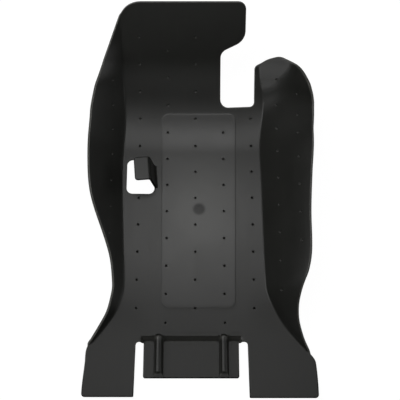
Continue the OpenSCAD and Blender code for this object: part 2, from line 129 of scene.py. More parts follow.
# Lines along the plate, as pairs of station and value. A station is a share of the floor's length
# behind the bend (below 0), or of the front's length ahead of it (above 0).
FLARE_L = FOOT_ROOT_L - WAIST_L
CREASE_LINE_L = [
    (-1.3, FOOT_OUT_L - WING_MIN),
    (-1.13, FOOT_ROOT_L - WING_MIN + 0.4 * (FOOT_OUT_L - FOOT_ROOT_L)),
    (-1.055, FOOT_ROOT_L - WING_MIN), (-1.019, WAIST_L + 0.79 * FLARE_L),
    (-0.948, WAIST_L + 0.48 * FLARE_L), (-0.884, WAIST_L + 0.23 * FLARE_L),
    (-0.815, WAIST_L + 0.08 * FLARE_L), (-0.74, WAIST_L),
    (-0.5, WAIST_L + 0.4 * (CREASE_MID_L - WAIST_L)), (-0.1, CREASE_MID_L),
    (0.23, CREASE_MID_L - 3), (0.6, CREASE_MID_L), (1, CREASE_MID_L)]
FLARE_R = FOOT_ROOT_R - WAIST_R
CREASE_LINE_R = [
    (-1.3, FOOT_OUT_R - WING_MIN),
    (-1.135, FOOT_ROOT_R - WING_MIN + 0.65 * (FOOT_OUT_R - FOOT_ROOT_R)),
    (-1.104, FOOT_ROOT_R - WING_MIN), (-1.019, WAIST_R + 0.65 * FLARE_R),
    (-0.926, WAIST_R + 0.33 * FLARE_R), (-0.82, WAIST_R + 0.09 * FLARE_R), (-0.74, WAIST_R),
    (-0.16, CREASE_MID_R), (0.05, CREASE_MID_R - 0.8), (0.31, CREASE_MID_R + 3.9),
    (0.385, CREASE_MID_R + 3.2), (0.48, CREASE_FRONT_R + 1.7), (0.575, CREASE_FRONT_R),
    (1, CREASE_FRONT_R - 1.3)]

# Each wing's reach, as a share of its widest
REACH_LINE_L = [
    (-1.08, 0), (-1.03, 0.11), (-0.93, 0.21), (-0.85, 0.28), (-0.75, 0.33), (-0.58, 0.43),
    (-0.31, 0.872), (-0.1, 0.966), (0.25, 1.002), (0.45, 0.86), (0.6, 0.65), (0.75, 0.38),
    (0.9, 0.12), (1, 0)]
REACH_LINE_R = [
    (-1.12, 0), (-1.07, 0.07), (-1, 0.185), (-0.87, 0.44), (-0.75, 0.72), (-0.685, 0.81),
    (-0.6, 0.86), (-0.4, 0.885), (-0.2, 0.94), (-0.04, 1), (0.1, 0.998), (0.2, 0.978),
    (0.3, 0.95), (0.38, 0.944), (0.45, 0.957), (0.6, 0.96)]

# The floor's dish, the left wing's rise, how far the right wing has turned into the ear, and where
# up the ear its fold runs
DISH_LINE = [(-1, 0), (-0.8, 1), (0, 1), (0.4, 0)]
LIFT_LINE = [(0.5, 1), (0.65, 0.75), (0.8, 0.45), (1, 0.25)]
HOLLOW_LINE = [(0.03, 0), (0.45, 1)]
FOLD_LINE = [(0.26, 0), (0.36, 0.14), (0.42, 0.32), (0.48, 0.53), (0.54, 0.78), (0.6, 0.93),
             (0.68, 0.95)]

# How far from the centre line the floor stays level
LEVEL_L, LEVEL_R = PANEL_HALF + 2.5, PANEL_HALF + 11


def along(line, q):
    """Smooth curve through a line's pairs, flat past both ends."""
    x = np.array([p[0] for p in line], float)
    y = np.array([p[1] for p in line], float)
    slope = np.zeros(len(x))
    slope[1:-1] = (y[2:] - y[:-2]) / (x[2:] - x[:-2])
    i = np.clip(np.searchsorted(x, q, "right") - 1, 0, len(x) - 2)
    w = x[i + 1] - x[i]
    t = np.clip((q - x[i]) / w, 0, 1)
    return (y[i] * (2 * t**3 - 3 * t**2 + 1) + slope[i] * w * (t**3 - 2 * t**2 + t)
            + y[i + 1] * (3 * t**2 - 2 * t**3) + slope[i + 1] * w * (t**3 - t**2))


def smooth(t):
    """Soft step from 0 to 1."""
    t = np.clip(t, 0, 1)
    return t * t * (3 - 2 * t)


def soft_max(a, b, k):
    """The larger of a and b, with a round blend where they differ by less than k."""
    return np.maximum(a, b) + np.maximum(k - abs(a - b), 0) ** 2 / (4 * np.maximum(k, 1e-6))


# The moulded surface. A point of it is (u, s): u across and s along the plate's centre line.
def station(s):
    """Share of the floor's length behind the bend, or of the front's length ahead of it."""
    return np.where(s < 0, s / FLOOR_LEN, s / FRONT_ARC)


def side_values(s, left):
    """Crease, wing width and wing rise at s."""
    q = station(s)
    crease = np.where(left, along(CREASE_LINE_L, q), along(CREASE_LINE_R, q))
    share = np.where(left, along(REACH_LINE_L, q), along(REACH_LINE_R, q))
    slope = np.where(left, SLOPE_L, SLOPE_R)
    reach = np.maximum(0, share * np.where(left, WING_L, WING_R) - WALL * np.sin(slope))
    lift = np.where(left, along(LIFT_LINE, q), 1)
    return crease, np.maximum(reach, WING_MIN), reach * np.tan(slope) * lift


def rim(s, left):
    """Distance of a wing's rim from the centre line."""
    crease, width, _ = side_values(s, left)
    return crease + width


def ear_curve(up, q):
    """Height up the ear, from 0 at the crease to 1 at the rim. It steepens softly past the fold."""
    fold = along(FOLD_LINE, q)
    past = soft_max(up - fold, 0, FOLD_SOFT) / soft_max(1 - fold, 0, FOLD_SOFT)
    return EAR_LEVEL * up + (1 - EAR_LEVEL) * past**2 * (1.5 - 0.5 * past)


def section_height(u, s):
    """Height of the inner face above the floor line, square to the plate's profile."""
    left = u < 0
    a = abs(u)
    q = station(s)
    crease, width, rise = side_values(s, left)
    base = DISH * along(DISH_LINE, q)
    level = np.where(left, LEVEL_L, LEVEL_R)
    belly = np.where(left, 0, BELLY)
    hollow = np.where(left, 0, along(HOLLOW_LINE, q))
    # t runs from the crease to the rim, start is the wing's slope at the crease, as a share
    t = (a - crease) / width
    up = np.clip(t, 0, None)
    start = (1 - hollow) * (1 + belly) + hollow * EAR_LEVEL
    wall = (1 - hollow) * (up + belly * up * (1 - up)) + hollow * ear_curve(up, q)
    curve = np.where(t > 0, wall, t * start)
    floor = base * np.clip((a - level) / (crease - level), 0, None)
    wing = base + rise * curve
    fillet = np.minimum(CREASE_R, CREASE_SHARE * width) * rise / width * start
    return soft_max(np.where(a < crease, floor, base), wing, np.maximum(fillet, CREASE_LEAST))


def profile(s):
    """Heading, length and height of the centre line at s."""
    heading = np.clip(s / BEND_R, 0, BEND_ANGLE)
    straight = np.maximum(0, s - BEND_LEN)
    y = BEND_Y + np.where(s < 0, s, BEND_R * np.sin(heading) + straight * math.cos(BEND_ANGLE))
    z = WALL + np.where(s < 0, 0, BEND_R * (1 - np.cos(heading)) + straight * math.sin(BEND_ANGLE))
    return heading, y, z


def plate_point(q):
    """Points of the smooth inner face at (u, s)."""
    u, s = q[:, 0], q[:, 1]
    heading, y, z = profile(s)
    v = section_height(u, s)
    return np.stack([u, y - v * np.sin(heading), z + v * np.cos(heading)], 1)


def tangents(point, q, step=0.05):
    """Point, unit normal and both derivatives of a surface at (u, s)."""
    du, ds = np.array([[step, 0]]), np.array([[0, step]])
    along_u = (point(q + du) - point(q - du)) / (2 * step)
    along_s = (point(q + ds) - point(q - ds)) / (2 * step)
    normal = np.cross(along_u, along_s)
    normal /= np.linalg.norm(normal, axis=1)[:, None]
    return point(q), normal, along_u, along_s


# Relief on the moulded surface
def panel_distance(q):
    """Distance outside the raised panel's rounded outline, below 0 inside it."""
    u, s = q[:, 0], q[:, 1]
    share = (s - PANEL_REAR) / (PANEL_FRONT - PANEL_REAR)
    half_u = PANEL_HALF + PANEL_SPREAD * share - PANEL_CORNER
    half_s = (PANEL_FRONT - PANEL_REAR) / 2 - PANEL_CORNER
    a = abs(u - PANEL_SHIFT) - half_u
    b = abs(s - (PANEL_FRONT + PANEL_REAR) / 2) - half_s
    outside = np.hypot(np.maximum(a, 0), np.maximum(b, 0))
    return outside + np.minimum(np.maximum(a, b), 0) - PANEL_CORNER


def step_drop(q, forward, outward):
    """Drop of the tab behind the step, with the step moved forward and its ends outward."""
    u, s = q[:, 0], q[:, 1]
    run = STEP_DROP / math.tan(STEP_SLOPE)
    down = (STEP_S - STEP_BACK + forward - s) / run
    fall = -soft_max(-soft_max(down, 0 * down, STEP_SOFT), 0 * down - 1, STEP_SOFT)
    side = np.where(u < 0, -u - TAB_L, u - TAB_R)
    inside = np.clip((STEP_CHEEK + outward - side) / STEP_CHEEK, 0, 1)
    return STEP_DROP * np.minimum(fall, smooth(inside))


def rib_height(q):
    """Height of the two ribs above the tab, and -1 where there is none."""
    u, s = q[:, 0], q[:, 1]
    nose_s = STEP_S + RIB_LEAD - RIB_NOSE
    rear_s = STEP_S - TAB_REACH + RIB_GAP
    front = np.sqrt(np.clip(1 - (np.maximum(s - nose_s, 0) / RIB_NOSE) ** 2, 0, 1))
    rear = np.clip((s - rear_s) / RIB_SLANT, 0, 1)
    out = np.full(len(q), -1.0)
    for axis in (-RIB_L, RIB_R):
        across = abs(u - axis) / (RIB_W / 2)
        size = np.maximum(front, RIB_LEAST)
        oval = np.sqrt(np.clip(1 - (across / size) ** RIB_OVAL, 0, 1)) * size
        out = np.maximum(out, np.where(front > 0, RIB_H * np.minimum(oval, rear * RIB_FULL), -1))
    return out


def floor_pits():
    """Places of the pits on the floor and the front, in two staggered sets of columns."""
    out = []
    for col in PIT_COLUMNS:
        for row in PIT_ROWS:
            s = PIT_LEAD - row * PIT_PITCH / 2
            beside_window = -WINDOW_FRONT - WINDOW_LEN - WINDOW_MARGIN < s < -WINDOW_FRONT + WINDOW_MARGIN
            in_window = col == WINDOW_COLUMN and beside_window
            in_notch = col > 0 and row < 0
            if (col + row) % 2 == 0 and not in_window and not in_notch:
                out.append((col * PIT_PITCH, s))
    return out


def wing_pits():
    """Places of the pits up the wings, each column at one distance from the centre line."""
    out = []
    for u, first, last in WING_COLUMNS:
        out += [(u, PIT_LEAD - row * PIT_PITCH / 2) for row in range(first, last + 1, 2)]
    return out


PITS = np.array(floor_pits() + wing_pits(), float)
PIT_POINTS, _, PIT_U, PIT_S = tangents(plate_point, PITS)


def pit_depth(points):
    """Depth of the round-bottomed pits at points of the surface."""
    out = np.zeros(len(points))
    for centre in PIT_POINTS:
        d = np.linalg.norm(points - centre, axis=1)
        wall = smooth((d - PIT_BASE_R) / (PIT_R + PIT_SPREAD - PIT_BASE_R))
        out = np.maximum(out, PIT_DEEP * (1 - wall))
    return out


def gate_distance(q):
    """Distance from the middle of the gate mark."""
    return np.hypot(q[:, 0] - GATE_U, q[:, 1] - GATE_S)


def gate_height(q):
    """Low dome where the plastic entered the mould."""
    return GATE_RISE * np.clip(1 - (gate_distance(q) / GATE_R) ** 2, 0, 1) ** 2


def inner_relief(q):
    """Height of the inner face's relief above the smooth surface."""
    panel = PANEL_RISE * smooth(0.5 - panel_distance(q) / PANEL_EDGE)
    ground = panel + gate_height(q) - step_drop(q, 0, 0) - pit_depth(plate_point(q))
    rib = rib_height(q)
    return np.where(rib >= 0, soft_max(ground, rib - STEP_DROP, RIB_SOFT), ground)


def outer_relief(q):
    """The outer face lies one wall below, and follows the step."""
    return -WALL - step_drop(q, WALL * math.tan(STEP_SLOPE / 2), STEP_UNDER)


# Masks for the material: their places, widths and strengths. Besides the panel and the gate's blush, they
# lay painted highlights and painted shade.
RIB_HIGHLIGHT_WIDTH, RIB_HIGHLIGHT_FROM = 0.16, 0.05
BLUSH_R, HALO_R, HALO_SHARE, BLUSH_STRETCH = 55, 24, 0.7, 0.8
GATE_SOFT, GATE_SHADE = 5, 0.95
SHADED_PITS_TO, SHADED_PITS_SOFT = 40, 30
PANEL_IN, PANEL_SOFT = 0.8, 1.6
# Strengths of the painted light on the step's slope and in the pits on the front and wings
STEP_PAINTED_LIGHT, PIT_PAINTED_HIGHLIGHT = 0.4, 0.35
# The painted highlight along the edges fades in ahead of the feet's and the tab's rear ends
EDGE_LIGHT_FROM_REAR, EDGE_LIGHT_FROM_TAB, EDGE_LIGHT_SOFT = 6, 3, 6


def step_face(q):
    """Mask of the step's slope, strongest half way down."""
    share = step_drop(q, 0, 0) / STEP_DROP
    return 4 * share * (1 - share)


def painted_rib_highlight(q):
    """Mask of the painted highlight on the sharp arch where a rib's slanted rear end cuts its round top.
    """
    rise = (q[:, 1] - (STEP_S - TAB_REACH + RIB_GAP)) / RIB_SLANT
    out = np.zeros(len(q))
    for axis in (-RIB_L, RIB_R):
        oval = np.sqrt(np.clip(1 - (abs(q[:, 0] - axis) / (RIB_W / 2)) ** RIB_OVAL, 0, 1))
        out = np.maximum(out, np.exp(-((oval - rise) / RIB_HIGHLIGHT_WIDTH) ** 2) * (oval > RIB_HIGHLIGHT_FROM))
    return out


def plate_marks(q):
    """Masks of the upper face. Pits get painted shade on the floor and painted light on the front and
    wings.
    """
    from_gate = np.hypot(q[:, 0] - GATE_U, (q[:, 1] - GATE_S) * BLUSH_STRETCH)
    # Painted shade on the gate's disc
    disc = smooth((GATE_R - gate_distance(q)) / GATE_SOFT)
    deep = pit_depth(plate_point(q)) / PIT_DEEP
    # The floor's pits get painted shade, those on the front and wings painted light
    dark = smooth((SHADED_PITS_TO - q[:, 1]) / SHADED_PITS_SOFT) * (abs(q[:, 0]) < WAIST_R)
    return {"panel": smooth((PANEL_IN - panel_distance(q)) / PANEL_SOFT),
            "blush": np.exp(-(from_gate / BLUSH_R) ** 2) + HALO_SHARE * np.exp(-(from_gate / HALO_R) ** 2),
            "pit": np.maximum(deep * dark, GATE_SHADE * disc),
            # Painted light on each rib's rear arch and on the step's slope, besides the pale pits
            "lip": painted_rib_highlight(q) + STEP_PAINTED_LIGHT * step_face(q) + PIT_PAINTED_HIGHLIGHT * deep * (1 - dark)}


def plate_edge_marks(q):
    """Masks of the rounded edges: a painted highlight along them, but painted shade on the feet's and the
    tab's rear ends.
    """
    from_rear = q[:, 1] - REAR_S - EDGE_LIGHT_FROM_REAR
    from_tab = q[:, 1] - STEP_S + TAB_REACH - EDGE_LIGHT_FROM_TAB
    on_foot = abs(q[:, 0]) > FOOT_IN_R
    edge_light = smooth(from_rear / EDGE_LIGHT_SOFT) * smooth(from_tab / EDGE_LIGHT_SOFT + on_foot)
    return {"edge": edge_light, "pit": 1 - edge_light}


# Outlines, as loops of (u, s), with the longest gaps between their points
OUTLINE_GAP, FINE_GAP, HOOK_GAP, HOOK_ROW_START, HOOK_ROW_GAP = 1.6, 1.4, 0.7, 0.9, 1.2
SEARCH_FROM, SEARCH_TO, SEARCH_STEPS = -60.0, 240.0, 40


def corner_arc(before, corner, after, radius, cuts=7):
    """Arc that rounds a corner between its two neighbours."""
    p, a, c = np.array(corner, float), np.array(before, float), np.array(after, float)
    if radius <= 0:
        return [tuple(p)]
    ua, uc = (a - p) / np.linalg.norm(a - p), (c - p) / np.linalg.norm(c - p)
    half = math.acos(np.clip(ua @ uc, -1, 1)) / 2
    mid = p + (ua + uc) / np.linalg.norm(ua + uc) * radius / math.sin(half)
    start = p + ua * radius / math.tan(half) - mid
    turn = (math.pi - 2 * half) * (-1 if ua[0] * uc[1] - ua[1] * uc[0] > 0 else 1)
    out = []
    for i in range(cuts + 1):
        g = turn * i / cuts
        out.append((mid[0] + start[0] * math.cos(g) - start[1] * math.sin(g),
                    mid[1] + start[0] * math.sin(g) + start[1] * math.cos(g)))
    return out


def round_path(corners, closed):
    """Path through corners of (x, y, radius)."""
    n = len(corners)
    out = []
    for i, (x, y, r) in enumerate(corners):
        if not closed and i in (0, n - 1):
            out.append((x, y))
        else:
            out += corner_arc(corners[i - 1][:2], (x, y), corners[(i + 1) % n][:2], r)
    return out


def split_long(path, longest, closed=False):
    """The same path with points added so that no piece is longer than longest."""
    out = []
    ends = path[1:] + path[:1] if closed else path[1:]
    for a, b in zip(path, ends):
        n = max(1, math.ceil(math.dist(a, b) / longest))
        out += [(a[0] + (b[0] - a[0]) * i / n, a[1] + (b[1] - a[1]) * i / n) for i in range(n)]
    return out if closed else out + [path[-1]]


def front_corners():
    """Corners of the front's outline, in a plane tilted by TRIM_TILT."""
    low, ear = TRIM_EDGE - NOTCH_DEPTH, TRIM_EDGE - EAR_DROP
    run = NOTCH_DEPTH + TRIM_SPARE
    corners = [
        (-FRONT_HALF_L - LEFT_SLANT * run, TRIM_EDGE - run, 0),
        (-FRONT_HALF_L, TRIM_EDGE, FRONT_CORNER_R), (FRONT_HALF_R, TRIM_EDGE, LOBE_ROUND),
        (FRONT_HALF_R, TRIM_EDGE - LOBE_LEN, LOBE_BULGE),
        (NOTCH_L, TRIM_EDGE - LOBE_LEN - LOBE_SLANT, NECK_ROUND), (NOTCH_L, low, LOBE_ROUND),
        (NOTCH_R, low + NOTCH_SLANT, NOTCH_ROUND), (NOTCH_R, ear - EAR_RISE, NOTCH_ROUND),
        (NOTCH_R + EAR_BROW * EAR_W, ear - 0.5 * EAR_RISE + EAR_CROWN, BROW_ROUND)]
    return corners + [(NOTCH_R + across * EAR_W, ear - back * EAR_W, turn * EAR_ROUND)
                      for across, back, turn in EAR_SHAPE]


def front_path():
    """The front's outline brought back to (u, s), from one wing's rim to the other's."""
    path = np.array(split_long(round_path(front_corners(), False), OUTLINE_GAP))
    u, low_s, high_s = path[:, 0], np.full(len(path), SEARCH_FROM), np.full(len(path), SEARCH_TO)
    for _ in range(SEARCH_STEPS):
        mid = (low_s + high_s) / 2
        p = plate_point(np.stack([u, mid], 1))
        edge = (p[:, 1] - BEND_Y) * math.cos(TRIM_TILT) + (p[:, 2] - WALL) * math.sin(TRIM_TILT)
        short = edge < path[:, 1]
        low_s, high_s = np.where(short, mid, low_s), np.where(short, high_s, mid)
    s = (low_s + high_s) / 2
    beyond = abs(u) - rim(s, u < 0)
    first = int(np.argmax(beyond < 0))
    last = len(u) - 1 - int(np.argmax(beyond[::-1] < 0))

    def crossing(i, j):
        f = beyond[i] / (beyond[i] - beyond[j])
        return u[i] + (u[j] - u[i]) * f, s[i] + (s[j] - s[i]) * f
    inside = [(u[i], s[i]) for i in range(first, last + 1)]
    return [crossing(first - 1, first)] + inside + [crossing(last + 1, last)]


def ease(path, corner, reach):
    """The same path with one smooth curve in place of its points within reach of a corner."""
    middle = path.index(corner)
    first, last = middle, middle
    while math.dist(path[first], corner) < reach:
        first -= 1
    while math.dist(path[last], corner) < reach:
        last += 1
    a, b = np.array(path[first]), np.array(path[last])
    span = np.linalg.norm(b - a)
    leave = (a - np.array(path[first - 2])) / math.dist(path[first], path[first - 2]) * span
    arrive = (np.array(path[last + 2]) - b) / math.dist(path[last], path[last + 2]) * span
    curve = []
    for k in np.linspace(0, 1, int(span / FINE_GAP)):
        curve.append(tuple(a * (2 * k**3 - 3 * k**2 + 1) + leave * (k**3 - 2 * k**2 + k)
                           + b * (3 * k**2 - 2 * k**3) + arrive * (k**3 - k**2)))
    return path[:first] + curve + path[last + 1:]


def wing_side(left, until):
    """A side's outline from the foot forward: the wing's rim up to the front's outline."""
    side = -1 if left else 1
    return [(side * float(rim(s, left)), s)
            for s in np.arange(REAR_S + FOOT_END, until - OUTLINE_GAP / 2, OUTLINE_GAP)]


def plate_outline():
    """The whole outline, anticlockwise."""
    front = front_path()
    side_l, side_r = wing_side(True, front[0][1]), wing_side(False, front[-1][1])
    slot_s = STEP_S - SLOT_LEAD
    tab_s = STEP_S - TAB_REACH
    # Each foot's inner edge leans outward toward the rear
    widen = (FOOT_CLOSE + FOOT_LEAN) * (slot_s - REAR_S) / (slot_s - REAR_S + FOOT_SPARE)
    near_l, near_r = -FOOT_IN_L + FOOT_CLOSE, FOOT_IN_R - FOOT_CLOSE
    rear = round_path([
        (*side_r[0], 0), (FOOT_OUT_R, REAR_S, FOOT_ROUND), (near_r + widen, REAR_S, FOOT_TIP_ROUND),
        (near_r, slot_s, FOOT_ROUND), (TAB_R, slot_s, TAB_ROOT_ROUND), (TAB_R, tab_s, TAB_ROUND),
        (-TAB_L, tab_s, TAB_ROUND), (-TAB_L, slot_s, TAB_ROOT_ROUND), (near_l, slot_s, FOOT_ROUND),
        (near_l - widen, REAR_S + FOOT_SHORT, FOOT_TIP_ROUND),
        (-FOOT_OUT_L, REAR_S + FOOT_SHORT, FOOT_ROUND), (*side_l[0], 0)], False)
    ahead = side_l[1:] + front + side_r[:0:-1]
    ahead = ease(ease(ahead, front[0], LEFT_EASE), front[-1], RIGHT_EASE)
    return (ahead + split_long(rear, FINE_GAP))[::-1]


def window_outline():
    """The window's outline, clockwise."""
    front, rear = -WINDOW_FRONT, -WINDOW_FRONT - WINDOW_LEN
    corners = [(-WINDOW_L, rear, WINDOW_ROUND), (-WINDOW_L, front, WINDOW_ROUND),
               (-WINDOW_R, front, WINDOW_HOOK_ROUND), (-WINDOW_R, rear, WINDOW_ROUND)]
    return split_long(round_path(corners, True), FINE_GAP, closed=True)


def inside_loop(points, loop):
    """Which points lie inside a loop, by counting crossings."""
    x, y = points[:, 0][:, None], points[:, 1][:, None]
    a = np.array(loop)
    b = np.roll(a, -1, 0)
    crosses = (a[:, 1] > y) != (b[:, 1] > y)
    rise = np.where(a[:, 1] == b[:, 1], 1e-12, b[:, 1] - a[:, 1])
    at = a[:, 0] + (y - a[:, 1]) * (b[:, 0] - a[:, 0]) / rise
    return ((crosses & (x < at)).sum(1) % 2) == 1


def inside_all(points, loops):
    """Which points lie inside the first loop and outside the others."""
    out = inside_loop(points, loops[0])
    for hole in loops[1:]:
        out &= ~inside_loop(points, hole)
    return out


# Points inside the outline, finer where the form turns quickly: offsets from a feature, radii round
# a centre with their counts of points, and shares of a rib's half width
CREASE_OFFSETS = (-6, -4, -2.2, -1.5, -0.8, 0, 0.8, 1.5, 2.2, 4, 6)
STEP_OFFSETS = (0.7, 0.2, -0.3, -1, -2, -3, -3.5, -3.9, -4.5)
CHEEK_OFFSETS = (-0.5, 0, 0.4, 0.8, 1.2, 1.6, 2.2)
PANEL_OFFSETS = (-0.55, -0.2, 0.2, 0.55)
RIB_REAR_OFFSETS = (0.6, 1.3, 2, 2.6, 3.3)
RIB_SHARES = (0, 0.16, 0.32, 0.48, 0.62, 0.74, 0.84, 0.91, 0.96, 1, 1.05, 1.14)
PIT_RINGS = ((0.55, 8), (0.85, 12), (1.15, 12), (1.45, 14), (2.2, 12))
GATE_RADII, GATE_COUNT = (1.5, 3, 4.5, 5.7, 6.6, 7.2, 7.6, 7.9, 8.3, 9.5), 48

# Gaps along those rows, the even grid's ends and gap, and how far rows run past or short of features
CREASE_GAP, STEP_GAP, CHEEK_GAP, PANEL_GAP, RIB_ROW_GAP, RIB_NOSE_GAP = 2.2, 1.2, 0.5, 2.2, 1.8, 0.6
GRID_LEFT, GRID_RIGHT, GRID_SPARE, GRID_GAP, HEX_ROW = -150, 160, 8, 2.8, 0.866
CREASE_START, STEP_SPARE, RIB_ENDS, RIB_NOSE_FROM, RIB_NOSE_TO = 40, 3, 5, -4.4, 5.6


def hex_grid(x0, x1, y0, y1, gap):
    """Even grid of points in staggered rows."""
    rows = int((y1 - y0) / (gap * HEX_ROW)) + 1
    cols = int((x1 - x0) / gap) + 1
    return [(x0 + (i + 0.5 * (j % 2)) * gap, y0 + j * gap * HEX_ROW)
            for j in range(rows + 1) for i in range(cols + 1)]


def pit_rings():
    """Centres of the pits and the rings of points round each, true to size on the sloping surface."""
    out = []
    for (u, s), along_u, along_s in zip(PITS, PIT_U, PIT_S):
        scale_u, scale_s = np.linalg.norm(along_u), np.linalg.norm(along_s)
        out.append((u, s))
        for radius, count in PIT_RINGS:
            for i in range(count):
                a = 2 * math.pi * i / count
                out.append((u + radius * math.cos(a) / scale_u, s + radius * math.sin(a) / scale_s))
    return out


def panel_rows():
    """Rows of points on both sides of the panel's edge."""
    half_s = (PANEL_FRONT - PANEL_REAR) / 2
    mid = (PANEL_FRONT + PANEL_REAR) / 2
    out = []
    for off in PANEL_OFFSETS:
        wide, far, r = PANEL_HALF + off, half_s + off, PANEL_CORNER + off
        corners = [(-wide, -far, r), (wide, -far, r), (wide + PANEL_SPREAD, far, r),
                   (-wide - PANEL_SPREAD, far, r)]
        path = split_long(round_path(corners, True), PANEL_GAP, closed=True)
        out += [(x + PANEL_SHIFT, y + mid) for x, y in path]
    return out


def rib_rows():
    """Rows of points along each rib, closer at its slanted rear end and its round nose."""
    rear = STEP_S - TAB_REACH
    stations = [rear + off for off in RIB_REAR_OFFSETS]
    stations += list(np.arange(rear + RIB_ENDS, STEP_S - RIB_ENDS, RIB_ROW_GAP))
    stations += list(np.arange(STEP_S + RIB_NOSE_FROM, STEP_S + RIB_NOSE_TO, RIB_NOSE_GAP))
    out = []
    for axis in (-RIB_L, RIB_R):
        for share in RIB_SHARES:
            for side in ((-1, 1) if share else (1,)):
                out += [(axis + side * share * RIB_W / 2, s) for s in stations]
    return out


def crease_rows():
    """Rows of points along both creases."""
    out = []
    for s in np.arange(REAR_S + CREASE_START, FRONT_ARC, CREASE_GAP):
        for left in (True, False):
            line = float(side_values(np.array(s), np.array(left))[0])
            side = -1 if left else 1
            out += [(side * (line + off), s) for off in CREASE_OFFSETS]
    return out


def step_rows():
    """Rows of points across the tab, down the step."""
    return [(u, STEP_S + off) for off in STEP_OFFSETS
            for u in np.arange(-TAB_L - STEP_SPARE, TAB_R + STEP_SPARE, STEP_GAP)]


def cheek_rows():
    """Rows of points along the step's two cheeks, beside the tab's root."""
    return [(side * (edge + off), s) for side, edge in ((-1, TAB_L), (1, TAB_R))
            for off in CHEEK_OFFSETS for s in np.arange(STEP_S - SLOT_LEAD, STEP_S, CHEEK_GAP)]


def gate_rings():
    """Rings of points on the gate mark and round it."""
    return [(GATE_U + r * math.cos(a), GATE_S + r * math.sin(a)) for r in GATE_RADII
            for a in np.linspace(0, 2 * math.pi, GATE_COUNT, endpoint=False)]


def feature_points():
    """Point sets in order of weight, each with the gap that it keeps from those before it."""
    grid = hex_grid(GRID_LEFT, GRID_RIGHT, REAR_S, FRONT_ARC + GRID_SPARE, GRID_GAP)
    return [(pit_rings(), 0.2), (cheek_rows(), 0.25), (rib_rows(), 0.2), (panel_rows(), 0.25),
            (step_rows(), 0.4), (gate_rings(), 0.3), (crease_rows(), 0.6), (grid, 1.5)]


def keep_apart(fixed, sets):
    """Joins point sets, leaving out each point that is too near an earlier set's."""
    kept = [tuple(p) for p in fixed]
    for points, gap in sets:
        tree = kdtree.KDTree(len(kept))
        for i, p in enumerate(kept):
            tree.insert((p[0], p[1], 0), i)
        tree.balance()
        kept += [p for p in points if tree.find((p[0], p[1], 0))[2] > gap]
    return kept


# A closed sheet with rounded edges, from a surface, its outline and its holes
EDGE_ANGLES = [math.radians(a) for a in (0, 22.5, 45, 67.5, 90)]
SAME_POINT = 1e-5
NORMAL_WEIGHT = 100


def edge_rows(high, low, normal, outward, edge_r):
    """Rows of points round an edge, from the upper face to the lower one."""
    upper, lower = [], []
    for a in EDGE_ANGLES:
        back, drop = outward * edge_r * (1 - math.sin(a)), normal * edge_r * (1 - math.cos(a))
        upper.append(high - back - drop)
        lower.append(low - back + drop)
    return upper + lower[::-1]


def moved(q, along_u, along_s, move):
    """(u, s) after a move along the surface."""
    uu, ss, us = (along_u**2).sum(1), (along_s**2).sum(1), (along_u * along_s).sum(1)
    mu, ms = (along_u * move).sum(1), (along_s * move).sum(1)
    det = uu * ss - us**2
    return q + np.stack([(mu * ss - ms * us) / det, (ms * uu - mu * us) / det], 1)


def round_edges(point, top, under, loops, edge_r):
    """For each loop, the rows of points round its edge, and the loop of the flat face's border."""
    rows, borders = [], []
    for loop in loops:
        q = np.array(loop, float)
        p, normal, along_u, along_s = tangents(point, q)
        outward = np.cross(np.roll(p, -1, 0) - np.roll(p, 1, 0), normal)
        outward /= np.linalg.norm(outward, axis=1)[:, None]
        high, low = p + normal * top(q)[:, None], p + normal * under(q)[:, None]
        rows.append(edge_rows(high, low, normal, outward, edge_r))
        borders.append(moved(q, along_u, along_s, -outward * edge_r))
    return rows, borders


def fill_loops(loops, sets):
    """Points and triangles inside the loops, and each loop point's place among the points."""
    extra = []
    for candidates, gap in sets:
        c = np.array(candidates, float)
        extra.append(([tuple(x) for x in c[inside_all(c, loops)]], gap))
    points = keep_apart(np.concatenate(loops), extra)
    edges, start = [], 0
    for loop in loops:
        n = len(loop)
        edges += [(start + i, start + (i + 1) % n) for i in range(n)]
        start += n
    verts, _, faces, origins, _, _ = geometry.delaunay_2d_cdt(
        [Vector(p) for p in points], edges, [], 0, SAME_POINT, True)
    q = np.array([tuple(v) for v in verts])
    tri = np.array([tuple(f) for f in faces])
    where = {old: new for new, olds in enumerate(origins) for old in olds}
    return q, tri[inside_all(q[tri].mean(1), loops)], where


def store_marks(mesh, q, loops, face_marks, edge_marks):
    """Stores the masks of the upper face and of the rounded edges as attributes."""
    rows = 2 * len(EDGE_ANGLES) - 2
    on_face = face_marks(q)
    on_edges = [edge_marks(np.array(loop, float)) for loop in loops]
    for key in sorted({*on_face, *on_edges[0]}):
        full = np.zeros(len(mesh.vertices), np.float32)
        if key in on_face:
            full[:len(q)] = on_face[key]
        if key in on_edges[0]:
            full[2 * len(q):] = np.concatenate([np.tile(marks[key], rows) for marks in on_edges])
        mesh.attributes.new(key, "FLOAT", "POINT").data.foreach_set("value", full)


